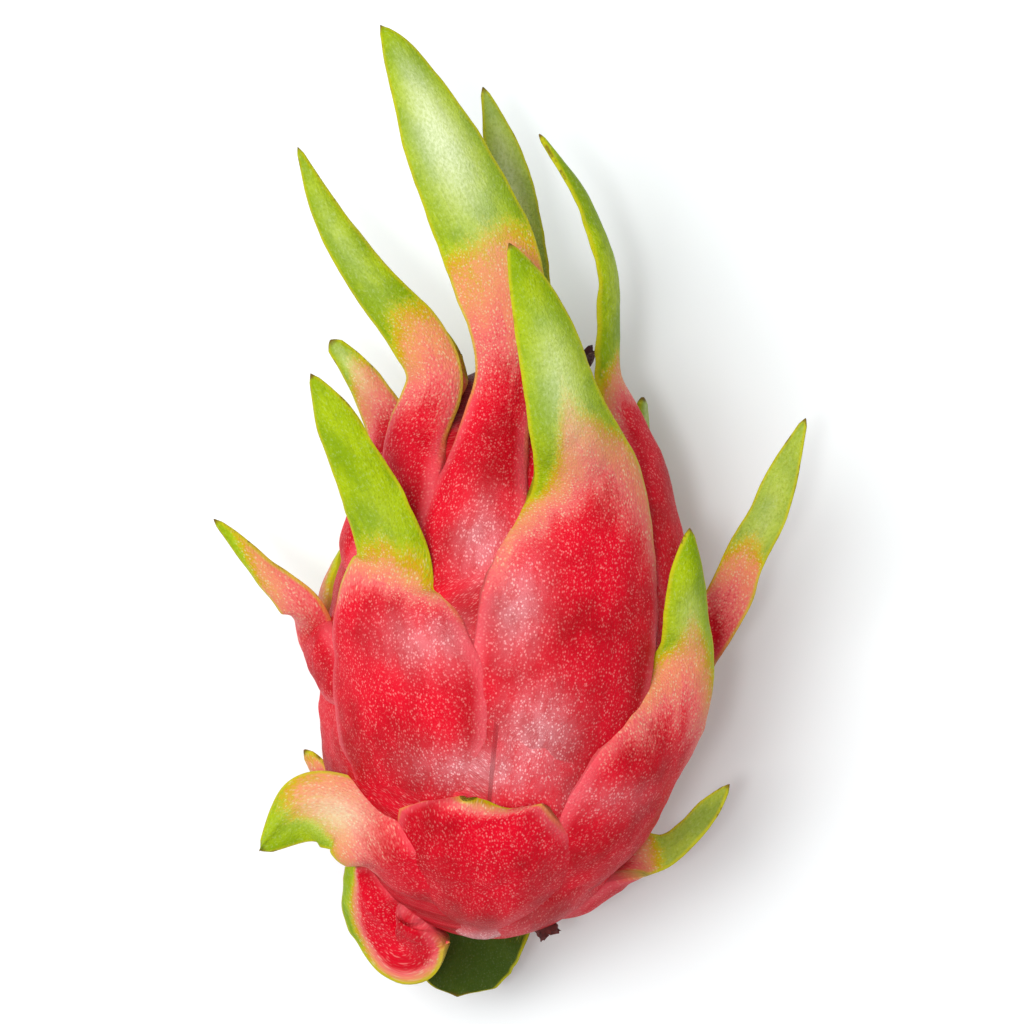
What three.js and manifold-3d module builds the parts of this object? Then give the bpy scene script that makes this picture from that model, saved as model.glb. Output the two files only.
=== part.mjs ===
// A dragon fruit (pitahaya) lying on its side: one fleshy body with its rind, the leaf-like
// bracts that grow out of the rind, the withered flower at the crown and the torn stem stub.
// Millimetres, +Z up. +Y runs along the fruit from the stem end to the crown. The origin is
// on the table, in the flat spot the fruit rests on.
//
// Every bract is described the way it grows. Its foot and its brow are places on the rind,
// given as [station along the fruit, degrees round it from the top towards +X]. From foot to
// brow it is a raised scale of the rind itself, and belongs to the body. Beyond the brow it is
// a free leaf that follows the points of its blade, and is a piece of its own.
import * as THREE from 'three';
import ManifoldModule from 'manifold-3d';

// ---- driving dimensions ---------------------------------------------------------------
const AXIS_HEIGHT = 40.5;          // middle line of the fruit above the table
const TABLE = 0;                   // height of the flat spot
const GAP = 0.3;                   // clearance between neighbouring pieces
const BRACT_LIFT_OFF_TABLE = 0.4;  // lowest a bract hangs above the table

// station along the fruit, radius there; the last points are the hollow at the crown
const PROFILE = [
  [-61, 0], [-60, 7], [-56, 16], [-48, 25], [-37, 32.5], [-22, 37.5], [-5, 39], [13, 37.5],
  [28, 33.8], [41, 28], [51, 21.5], [58, 15.5], [61, 11], [59, 7], [56, 0],
];
const RIND_POINTS = 13;            // points of the profile that are outer rind

const SCALE_BULGE = 2.8;           // how far the middle of a scale stands out of the rind
const SCALE_SEAT = 2.6;            // how deep a scale is rooted in the rind
const SCALE_END = 3.2;             // where the scale ends and the free leaf begins, in knots
const BLADE_MARGIN = 0.9;          // thickness of a leaf at its edge
const BLADE_TIP = 1.1;             // thickness of a leaf at its tip
const BLADE_CUP = 0.22;            // how far a leaf curls, as a share of its half width

const SCAR = { from: 57, to: 67.5, foot: 8.5, rim: 12.5, wall: 2.0, floor: 61.5, ribs: 9, flare: 0.8 };
const STUB = { from: [11, -52.5, 42], to: [15.6, -58.8, 42], foot: 3.2, end: 2.6, ragged: 0.6 };

const GREEN = 0x8fa52a, LIME = 0x9fb83a, OLIVE = 0x7f8f2c, ROSE = 0xd4485a, LEAF_RED = 0xb9a03c;

// foot, brow: [station, angle]; blade: [x, y, z] points; width: half width at foot, a third,
// two thirds, brow, then at each blade point; face: the way the leaf looks, degrees from +Z
// towards +X
const BRACTS = [
  { name: 'crown_bract_front', foot: [14, -19], brow: [46, -14], lift: 4.5, thick: 4.2, face: 0, colour: LIME,
    blade: [[-6, 67, 75], [-11.5, 84.5, 77], [-22.5, 104, 77], [-33, 122, 73], [-38, 128.5, 71]],
    width: [8, 11.5, 10, 7.2, 8.2, 9.6, 8, 3.8, 0.5] },
  { name: 'shoulder_bract_front', foot: [-25, 18], brow: [34, 24], lift: 4.5, thick: 4.2, face: 10, colour: LIME,
    blade: [[8.5, 51, 84], [3, 65.5, 87], [-2, 76.5, 88], [-7, 85, 88]],
    width: [15, 19.5, 19.5, 13, 8.4, 6.4, 4.2, 0.6] },
  { name: 'shoulder_bract_left', foot: [-31, -28], brow: [11, -38], lift: 3.6, thick: 3.6, face: -12, colour: GREEN,
    blade: [[-25.5, 20, 75], [-30.5, 31, 78], [-36, 40.5, 79], [-40, 47.5, 79], [-45, 55, 78]],
    width: [14, 18.5, 18.5, 11.5, 7.6, 6.4, 5, 3.9, 0.6] },
  { name: 'crown_bract_left', foot: [16, -46], brow: [43, -50], lift: 4, thick: 4, face: -10, colour: OLIVE,
    blade: [[-20.5, 57, 61], [-25.5, 66, 62], [-33, 73.5, 62], [-40.5, 82, 61], [-47, 91, 59], [-53.5, 103, 56]],
    width: [6, 9, 9, 6.8, 6.2, 6, 5, 4.1, 2.9, 0.5] },
  { name: 'crown_bract_back', foot: [38, 180], brow: [55, 170], lift: 1.5, thick: 3.2, face: 195, colour: OLIVE,
    blade: [[-2, 66, 24], [-3, 77, 33], [-6.5, 93, 42], [-11, 107.5, 47], [-16, 120, 50]],
    width: [4, 7, 7, 6, 5.8, 5.6, 5.4, 4, 0.6] },
  { name: 'crown_bract_right', foot: [12, 74], brow: [48, 66], lift: 2, thick: 3.8, face: 66, colour: OLIVE,
    blade: [[17, 61, 55], [16, 73.5, 57], [13.5, 86, 58], [7.5, 98, 58], [-3, 110.5, 57]],
    width: [8, 12, 11, 7, 5.6, 5, 4.2, 3.2, 0.5] },
  { name: 'crown_bract_left_low', foot: [35, -75], brow: [54, -60], lift: 1.5, thick: 2.6, face: -20, colour: LEAF_RED,
    blade: [[-16.5, 58, 46], [-18, 64, 46], [-22, 70.5, 45]],
    width: [4, 6, 5, 4, 3, 2, 0.5] },
  { name: 'shoulder_bract_left_low', foot: [14, -78], brow: [40, -72], lift: 1.8, thick: 3.2, face: -10, colour: GREEN,
    blade: [[-30.5, 48, 44], [-36.5, 56.5, 44], [-43, 63, 44]],
    width: [4, 8, 8, 5.6, 4.8, 3.4, 1.6] },
  { name: 'shoulder_bract_right_low', foot: [20, 112], brow: [42, 104], lift: 1.5, thick: 3, face: 60, colour: LIME,
    blade: [[25.5, 51.5, 30], [25, 58.5, 30]],
    width: [4, 8, 8, 5, 3, 1.6] },
  { name: 'side_bract_right', foot: [-28, 104], brow: [2, 100], lift: 1.5, thick: 3, face: 165, colour: LIME,
    blade: [[46.5, 16, 38], [49.5, 26.5, 40], [53, 35, 43], [55.5, 45, 46], [58.5, 56.5, 50]],
    width: [4, 10, 10, 6.5, 5.2, 4.6, 4.2, 3.3, 0.6] },
  { name: 'side_bract_front_right', foot: [-51, 50], brow: [-6, 60], lift: 3.6, thick: 3.8, face: 25, colour: LIME,
    blade: [[38, 5, 62], [37, 14, 66], [36, 22.5, 69], [35.5, 31, 71]],
    width: [10, 17, 16.5, 9.5, 6.8, 5.4, 3.8, 0.6] },
  { name: 'base_bract_right', foot: [-56, 100], brow: [-40, 92], lift: 1, thick: 2.6, face: 150, colour: OLIVE,
    blade: [[38.5, -38.5, 38], [43, -34, 39], [46.5, -29, 40], [50, -23, 42]],
    width: [3, 8, 8, 5.5, 3.6, 3, 2.6, 0.6] },
  { name: 'base_bract_left', foot: [-53, -33], brow: [-39, -46], lift: 2.6, thick: 3, face: -10, colour: LIME,
    blade: [[-30.5, -35.5, 62], [-39, -36, 60], [-47, -45, 56]],
    width: [6, 10, 10.5, 9, 8.2, 7.4, 1] },
  { name: 'side_bract_left', foot: [-12, -57], brow: [1, -84], lift: 2, thick: 3, face: -25, colour: ROSE,
    blade: [[-44.5, 6.5, 52], [-52.5, 13, 53], [-58.5, 18.5, 53], [-64, 23, 52]],
    width: [2, 6, 7, 5.6, 4.6, 3, 1.9, 0.5] },
  { name: 'base_bract_front', folded: true, foot: [-60.5, 4], brow: [-36, -6], lift: 1.2, thick: 2.8, face: -5, tipUp: -0.8, colour: ROSE,
    blade: [[-5, -32.5, 77.6], [-5.3, -29.2, 78.7]],
    width: [11, 21, 21, 17, 14.5, 13] },
  { name: 'base_bract_left_low', folded: true, foot: [-56, -66], brow: [-57, -84], lift: 2.5, thick: 3, face: -35, colour: LIME,
    blade: [[-16.5, -62.5, 37], [-23.5, -57, 40], [-27.2, -46.8, 43]],
    width: [2, 3, 5, 8.5, 10.5, 9, 3.6] },
  { name: 'base_bract_under', foot: [-50, 175], brow: [-56.5, 177], lift: 1.5, thick: 3, face: 180, colour: OLIVE,
    blade: [[-2.5, -66.5, 22], [-3.3, -72.5, 20.5], [-3.3, -76.3, 20]],
    width: [5, 9, 10, 11, 11, 8.2, 1.2] },
  { name: 'side_bract_left_low', foot: [-48, -106], brow: [-36, -100], lift: 1.2, thick: 2.8, face: -60, colour: ROSE,
    blade: [[-37, -30.5, 33.5], [-41, -25.5, 32]],
    width: [3, 6, 6, 4.5, 3.6, 1.2] },
  { name: 'side_bract_left_mid', foot: [-15, -108], brow: [12, -106], lift: 1.5, thick: 3, face: -105, colour: LIME,
    blade: [[-35.5, 22, 27], [-32.5, 33, 28], [-27.5, 43, 31], [-25.5, 49, 35]],
    width: [4, 9, 10, 7.5, 6, 4.6, 3, 0.6] },
  { name: 'under_bract_right', foot: [-45, 128], brow: [-12, 125], lift: 1.5, thick: 3, face: 135, colour: LIME,
    blade: [[32.5, 2, 15], [31, 14, 13], [29, 26, 13], [26, 36, 15]],
    width: [4, 10, 11, 8, 6, 5, 3.6, 0.6] },
  { name: 'under_bract_left', foot: [-40, -128], brow: [-8, -125], lift: 1.5, thick: 3, face: -135, colour: LIME,
    blade: [[-32.5, 6, 15], [-31, 18, 13], [-28, 30, 12.5], [-25, 41, 14]],
    width: [4, 10, 11, 8, 6, 5, 3.6, 0.6] },
  { name: 'under_bract_middle', foot: [-28, 180], brow: [12, 180], lift: 1.2, thick: 2.2, face: 180, colour: OLIVE,
    blade: [[0.5, 20, 2.0], [1, 28, 3.4], [1.5, 36, 6.5]],
    width: [5, 12, 14, 9, 7, 5, 0.6] },
  { name: 'under_bract_crown', foot: [26, 178], brow: [46, 176], lift: 1.5, thick: 3, face: 180, colour: OLIVE,
    blade: [[1, 56, 14], [2, 64, 15], [3, 72, 18]],
    width: [4, 8, 8, 6, 5, 4, 0.6] },
  { name: 'under_bract_crown_left', foot: [5, -140], brow: [33, -135], lift: 1.5, thick: 3, face: -150, colour: GREEN,
    blade: [[-22, 44, 17], [-19, 55, 20], [-16, 64, 25]],
    width: [4, 9, 10, 7, 5.4, 4, 0.6] },
  { name: 'under_bract_crown_right', foot: [5, 142], brow: [32, 140], lift: 1.5, thick: 3, face: 150, colour: GREEN,
    blade: [[20, 42, 15], [19, 50, 17], [17, 57, 21]],
    width: [4, 9, 10, 7, 5.4, 4, 0.6] },
  { name: 'under_bract_base_right', foot: [-55, 130], brow: [-36, 135], lift: 1.5, thick: 3, face: 150, colour: GREEN,
    blade: [[25.5, -26, 9.5], [26, -17, 7], [25, -8, 6]],
    width: [4, 9, 9, 7, 5.4, 4, 0.6] },
  { name: 'under_bract_base_left', foot: [-55, -135], brow: [-38, -140], lift: 1.5, thick: 3, face: -150, colour: GREEN,
    blade: [[-22, -28, 11], [-22, -20, 8.5], [-20, -12, 7.5]],
    width: [4, 9, 9, 7, 5.4, 4, 0.6] },
];

// ---- small vector helpers -------------------------------------------------------------
const add = (a, b, k = 1) => [a[0] + b[0] * k, a[1] + b[1] * k, a[2] + b[2] * k];
const sub = (a, b) => add(a, b, -1);
const dot = (a, b) => a[0] * b[0] + a[1] * b[1] + a[2] * b[2];
const cross = (a, b) => [a[1] * b[2] - a[2] * b[1], a[2] * b[0] - a[0] * b[2], a[0] * b[1] - a[1] * b[0]];
const unit = (a) => { const l = Math.hypot(...a); return [a[0] / l, a[1] / l, a[2] / l]; };
const radians = (d) => d * Math.PI / 180;
const clamp = (v, lo, hi) => Math.min(hi, Math.max(lo, v));
const smooth = (v) => v * v * (3 - 2 * v);

// smooth curve through (xs, ys)
function along(xs, ys, x) {
  const n = xs.length;
  const v = clamp(x, xs[0], xs[n - 1]);
  let k = 0;
  while (k < n - 2 && v >= xs[k + 1]) k++;
  const slope = (i) => {
    const a = Math.max(i - 1, 0), b = Math.min(i + 1, n - 1);
    return (ys[b] - ys[a]) / (xs[b] - xs[a]);
  };
  const h = xs[k + 1] - xs[k], t = (v - xs[k]) / h, t2 = t * t, t3 = t2 * t;
  return (2 * t3 - 3 * t2 + 1) * ys[k] + (t3 - 2 * t2 + t) * h * slope(k)
    + (3 * t2 - 2 * t3) * ys[k + 1] + (t3 - t2) * h * slope(k + 1);
}

// smooth curve through points, at t counted in points
function throughPoints(points, t) {
  const n = points.length;
  const at = (i) => (i < 0 ? add(points[0], sub(points[0], points[1]))
    : i >= n ? add(points[n - 1], sub(points[n - 1], points[n - 2])) : points[i]);
  const k = clamp(Math.floor(t), 0, n - 2), f = t - k;
  const [p0, p1, p2, p3] = [at(k - 1), at(k), at(k + 1), at(k + 2)];
  return [0, 1, 2].map((c) => 0.5 * (2 * p1[c] + (p2[c] - p0[c]) * f
    + (2 * p0[c] - 5 * p1[c] + 4 * p2[c] - p3[c]) * f * f
    + (3 * p1[c] - p0[c] - 3 * p2[c] + p3[c]) * f * f * f));
}

// ---- the rind -------------------------------------------------------------------------
const RIND = PROFILE.slice(0, RIND_POINTS);
const RIND_Y = RIND.map((p) => p[0]), RIND_R = RIND.map((p) => p[1]);
const bodyRadius = (y) => along(RIND_Y, RIND_R, y);

// point and outward direction of the rind at a station and an angle
function rind(y, degrees) {
  const r = bodyRadius(y), a = radians(degrees);
  const slope = bodyRadius(y + 0.5) - bodyRadius(y - 0.5);
  return {
    point: [r * Math.sin(a), y, AXIS_HEIGHT + r * Math.cos(a)],
    normal: unit([Math.sin(a), -slope, Math.cos(a)]),
  };
}

// ---- solids ---------------------------------------------------------------------------
const wasm = await ManifoldModule();
wasm.setup();
const { Manifold, Mesh: SolidMesh } = wasm;

// closed skin over rings of points, each ring the same length, closed by a point at each end
function loft(rings) {
  const n = rings[0].length, points = rings.flat(), faces = [];
  const middle = (ring) => ring.reduce((s, p) => add(s, p, 1 / n), [0, 0, 0]);
  for (let i = 0; i < rings.length - 1; i++) {
    for (let j = 0; j < n; j++) {
      const a = i * n + j, b = i * n + (j + 1) % n, c = a + n, d = b + n;
      faces.push(a, b, d, a, d, c);
    }
  }
  const first = points.push(middle(rings[0])) - 1;
  const last = points.push(middle(rings[rings.length - 1])) - 1;
  const base = (rings.length - 1) * n;
  for (let j = 0; j < n; j++) {
    faces.push(first, (j + 1) % n, j);
    faces.push(last, base + j, base + (j + 1) % n);
  }
  const make = (order) => new Manifold(new SolidMesh({
    numProp: 3, vertProperties: new Float32Array(points.flat()), triVerts: new Uint32Array(order),
  }));
  let solid = make(faces);
  if (solid.volume() < 0) {
    const turned = [];
    for (let i = 0; i < faces.length; i += 3) turned.push(faces[i], faces[i + 2], faces[i + 1]);
    solid = make(turned);
  }
  return solid;
}

// middle line of a bract at t, with the way it runs, the way it faces and its half width
function bractStation(b, t) {
  const [y0, f0] = b.foot, [y1, f1] = b.brow;
  const place = (s) => rind(y0 + (y1 - y0) * s, f0 + (f1 - f0) * s);
  const knots = [[0, -0.6], [1 / 3, 0], [2 / 3, 0.25 * b.lift - 0.1], [1, b.lift]].map(([s, rise]) => {
    const at = place(s);
    return add(at.point, at.normal, rise);
  }).concat(b.blade);
  const last = knots.length - 1, step = 0.05;
  const middle = throughPoints(knots, t);
  const run = unit(sub(throughPoints(knots, Math.min(t + step, last)), throughPoints(knots, Math.max(t - step, 0))));
  let look = place(Math.min(1, t / 3)).normal;
  if (t > 2) {
    const turn = smooth(Math.min(1, (t - 2) / 1.6)), f = radians(b.face);
    look = add(look.map((v) => v * (1 - turn)), [Math.sin(f), b.tipUp ?? 0, Math.cos(f)], turn);
  }
  look = unit(add(look, run, -dot(look, run)));
  const half = Math.max(0.4, along(knots.map((_, i) => i), b.width, t));
  return { middle, run, look, side: cross(run, look), half, last };
}

const ACROSS = [-1, -0.62, 0, 0.62, 1];

// the part of a bract that is a raised scale of the rind; grow swells it for cutting
function scaleSolid(b, grow = 0) {
  const rings = [];
  for (const t of [0, 0.5, 1, 1.6, 2.2, 2.8, SCALE_END]) {
    const s = bractStation(b, Math.min(t, bractStation(b, 0).last));
    const r = Math.max(8, bodyRadius(s.middle[1]));
    const half = s.half + grow;
    const at = (v, out) => add(add(s.middle, s.side, half * v), s.look, out - half * half * v * v / (2 * r));
    const crown = SCALE_BULGE * smooth(Math.min(1, 0.15 + t / 1.2)) * (t > 2 ? 1 - 0.35 * (t - 2) : 1);
    rings.push([
      ...ACROSS.map((v) => at(v, crown * (1 - v * v) ** 0.75 + 0.2 + grow)),
      ...ACROSS.map((v) => at(-v, -SCALE_SEAT - grow)),
    ]);
  }
  return loft(rings);
}

// a folded leaf: short convex lengths between rings, four across, joined into one solid
function joinedLengths(rings) {
  const n = ACROSS.length, lengths = [];
  for (let i = 0; i < rings.length - 1; i++) {
    for (let k = 0; k < n - 1; k++) {
      const corners = [rings[i], rings[i + 1]].flatMap((r) => [r[k], r[k + 1], r[2 * n - 1 - k], r[2 * n - 2 - k]]);
      lengths.push(Manifold.hull(corners));
    }
  }
  return Manifold.union(lengths).simplify(0.05);
}

// the free leaf of a bract
function bladeSolid(b, grow = 0) {
  const { last } = bractStation(b, 0), rings = [];
  const from = SCALE_END - 0.35, count = b.blade.length > 3 ? 8 : 6;
  for (let i = 0; i <= count; i++) {
    const share = i / count, s = bractStation(b, from + (last - from) * share);
    const half = s.half + grow, cup = BLADE_CUP * s.half;
    const body = Math.max(0, b.thick + (BLADE_TIP - b.thick) * share ** 0.8 - BLADE_MARGIN) / 2;
    const margin = Math.min(BLADE_MARGIN, 0.5 + s.half) / 2 + grow;
    const at = (v, out) => add(add(s.middle, s.side, half * v), s.look, out - cup * v * v);
    rings.push([
      ...ACROSS.map((v) => at(v * (v * v === 1 ? 0.97 : 1), body * (1 - v * v) + margin)),
      ...ACROSS.map((v) => at(-v, -body * (1 - v * v) - margin)),
    ]);
  }
  return b.folded ? joinedLengths(rings) : loft(rings);
}

// rings of a turned shape along the fruit; wobble shapes each ring
function turned(stations, segments, wobble = () => 1) {
  return loft(stations.map(([y, r]) => Array.from({ length: segments }, (_, j) => {
    const a = 2 * Math.PI * j / segments, q = r * wobble(a, y);
    return [q * Math.sin(a), y, AXIS_HEIGHT + q * Math.cos(a)];
  })));
}

function core(grow = 0) {
  const stations = [[-61 - grow, 1.5]];
  for (const y of [-60, -58, -54, -48, -42, -35, -27, -18, -9, 0, 9, 18, 26, 34, 41, 47, 52, 56, 59, 61]) {
    stations.push([y, bodyRadius(y) + grow]);
  }
  stations.push([59 + grow, 7 - grow], [56.4 + grow, 3]);
  return turned(stations, 32);
}

// the withered flower: a ribbed, flaring cup standing in the hollow of the crown
function scarSolid(grow = 0) {
  const flute = (a, y) => 1 + 0.035 * Math.cos(SCAR.ribs * a) * ((y - SCAR.from) / (SCAR.to - SCAR.from));
  const lip = (r) => [[SCAR.to - 1.6, r - 0.2], [SCAR.to, r + SCAR.flare]];
  const outside = [[SCAR.from, SCAR.foot * 0.45], [SCAR.from + 1.5, SCAR.foot * 0.72], [61.5, SCAR.foot + 1], [64, SCAR.rim - 1.6], ...lip(SCAR.rim)];
  if (grow) return turned([...outside.map(([y, r]) => [y, r + grow]), [SCAR.to + grow, SCAR.rim]], 27, flute);
  const inside = lip(SCAR.rim - SCAR.wall).reverse().concat([[64.5, SCAR.rim - SCAR.wall - 2.2], [SCAR.floor + 1, 6.5], [SCAR.floor, 2.5]]);
  return turned([...outside, ...inside], 27, flute);
}

// the torn stub of the stem
function stubSolid(grow = 0) {
  const { from, to } = STUB, run = unit(sub(to, from)), up = [0, 0, 1], side = unit(cross(run, up));
  const ring = (share, r, tear) => Array.from({ length: 12 }, (_, j) => {
    const a = 2 * Math.PI * j / 12, q = (r + grow) * (1 + 0.08 * Math.sin(3 * a + 1));
    const reach = tear * STUB.ragged * Math.sin(2 * a + 0.7);
    const p = add(add(from, sub(to, from), share), run, reach + (share === 1 ? grow : -grow * (1 - share)));
    return add(add(p, side, q * Math.cos(a)), up, q * Math.sin(a));
  });
  return loft([ring(0, STUB.foot * 0.8, 0), ring(0.35, STUB.foot, 0), ring(0.7, STUB.end, 0.4), ring(1, STUB.end * 0.75, 1)]);
}

// the biggest body of a solid; slivers left by a cut are dropped
function biggest(solid) {
  const pieces = solid.decompose();
  return pieces.reduce((a, b) => (b.volume() > a.volume() ? b : a));
}

// ---- putting it together --------------------------------------------------------------
const scales = BRACTS.map((b) => scaleSolid(b));
const stub = stubSolid();
const scar = scarSolid();
const body = biggest(
  Manifold.union([core(), ...scales])
    .subtract(stubSolid(GAP))
    .subtract(scarSolid(GAP))
    .trimByPlane([0, 0, 1], TABLE)
    .simplify(0.09),
);

const clearance = Manifold.union([core(GAP), ...BRACTS.map((b) => scaleSolid(b, GAP)), scarSolid(GAP), stubSolid(GAP)]);
const nodes = [
  { name: 'fruit_body', solid: body, colour: 0xd8203c, roughness: 0.42 },
  { name: 'flower_scar', solid: biggest(scar), colour: 0x6b2230, roughness: 0.85 },
  { name: 'stem_stub', solid: biggest(stub), colour: 0x7a4a34, roughness: 0.9 },
];
const grown = [];
for (const b of BRACTS) {
  let leaf = bladeSolid(b).trimByPlane([0, 0, 1], BRACT_LIFT_OFF_TABLE).subtract(clearance).subtract(body);
  if (grown.length) leaf = leaf.subtract(Manifold.union(grown));
  nodes.push({ name: b.name, solid: biggest(leaf.simplify(0.05)), colour: b.colour, roughness: 0.45 });
  grown.push(bladeSolid(b, GAP));
}

const fruit = new THREE.Group();
fruit.name = 'dragon_fruit';
for (const { name, solid, colour, roughness } of nodes) {
  const mesh = solid.getMesh();
  const geometry = new THREE.BufferGeometry();
  const positions = new Float32Array(mesh.numVert * 3);
  for (let i = 0; i < mesh.numVert; i++) {
    for (let c = 0; c < 3; c++) positions[i * 3 + c] = mesh.vertProperties[i * mesh.numProp + c];
  }
  geometry.setAttribute('position', new THREE.BufferAttribute(positions, 3));
  geometry.setIndex(new THREE.BufferAttribute(new Uint32Array(mesh.triVerts), 1));
  geometry.computeVertexNormals();
  const material = new THREE.MeshStandardMaterial({ color: colour, roughness, metalness: 0 });
  material.name = name === 'fruit_body' ? 'rind' : name === 'flower_scar' ? 'withered_flower' : name === 'stem_stub' ? 'stem' : 'bract';
  const piece = new THREE.Mesh(geometry, material);
  piece.name = name;
  fruit.add(piece);
}

export default fruit;
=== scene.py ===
"""A dragon fruit lying on a pale table, seen from straight above.

The fruit is built from the way it grows. The core is the fleshy body. Over it lies a coat of
scales, and each scale ends in a free leaf, the bract. A scale and its leaf are one smooth
surface here: a strip that is swept from its foot on the rind, over its brow, out to its tip.
Lengths in the growth tables are millimetres; MM turns them into metres. +Y runs from the stem
end to the crown, +Z is up, and the origin is the spot the fruit rests on.
"""

import math

import bpy
import numpy as np
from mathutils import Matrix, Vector


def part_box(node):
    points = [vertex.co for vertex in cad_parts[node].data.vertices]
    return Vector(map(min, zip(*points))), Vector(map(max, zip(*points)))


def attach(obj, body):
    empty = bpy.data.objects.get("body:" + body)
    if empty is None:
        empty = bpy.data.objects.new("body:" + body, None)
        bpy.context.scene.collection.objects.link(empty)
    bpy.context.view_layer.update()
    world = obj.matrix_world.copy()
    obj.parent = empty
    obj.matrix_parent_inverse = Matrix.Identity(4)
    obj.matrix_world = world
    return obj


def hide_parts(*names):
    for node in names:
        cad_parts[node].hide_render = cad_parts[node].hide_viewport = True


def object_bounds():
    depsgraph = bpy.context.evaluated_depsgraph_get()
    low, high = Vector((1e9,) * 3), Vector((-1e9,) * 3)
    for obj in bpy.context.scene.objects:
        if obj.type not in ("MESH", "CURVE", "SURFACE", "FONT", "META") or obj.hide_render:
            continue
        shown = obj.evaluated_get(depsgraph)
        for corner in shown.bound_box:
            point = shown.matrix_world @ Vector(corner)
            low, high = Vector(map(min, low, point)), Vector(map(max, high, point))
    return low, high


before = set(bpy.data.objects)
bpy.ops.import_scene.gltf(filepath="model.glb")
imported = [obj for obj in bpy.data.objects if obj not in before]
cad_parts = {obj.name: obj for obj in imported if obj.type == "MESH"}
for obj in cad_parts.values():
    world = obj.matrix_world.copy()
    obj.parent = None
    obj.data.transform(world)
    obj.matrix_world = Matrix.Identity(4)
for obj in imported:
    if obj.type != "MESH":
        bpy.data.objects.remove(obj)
cad_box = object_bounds()

MM = 0.001
SEED = 23


# ---- places taken from the frame ------------------------------------------------------
def box_mm(node):
    """Lowest and highest corner of a CAD node, in millimetres."""
    low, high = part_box(node)
    return np.array(low) / MM, np.array(high) / MM


SCAR_LOW, SCAR_HIGH = box_mm("flower_scar")
STUB_LOW, STUB_HIGH = box_mm("stem_stub")
AXIS_HEIGHT = (SCAR_LOW[2] + SCAR_HIGH[2]) / 2 - 0.4


# ---- growth ---------------------------------------------------------------------------
# station along the fruit, radius there; the last points are the hollow at the crown
RIND = [
    (-61, 0.0), (-60, 7), (-56, 16), (-48, 25), (-37, 32.5), (-22, 37.5), (-5, 39), (13, 37.5),
    (28, 33.8), (41, 28), (51, 21.5), (58, 15.5), (61, 11),
]
CROWN_HOLLOW = [(60.4, 9.0), (59, 7), (57.5, 4.5), (56.3, 0.2)]

SCALE_BULGE = 2.3   # how far the middle of a scale stands up from the rind
SCALE_SEAT = 2.6    # how deep a scale reaches down into the flesh
SCALE_STEP = 1.3    # height of the step at its margins, near the brow
LEAF_FROM = 2.85    # where the leaf begins to thin, in points from the foot; the brow is at 3
LEAF_TIP = 1.1      # thickness of a leaf at its tip
LEAF_MARGIN = 0.9   # thickness of a leaf at its margins
LEAF_CUP = 0.22     # how far the margins bend back, as a share of the half width
LEAF_WAVE = 0.5     # how far the margins wave up and down
SKIN_BETWEEN_SEEDS = 13.7  # keeps the flecks of one scale unlike those of the next

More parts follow.
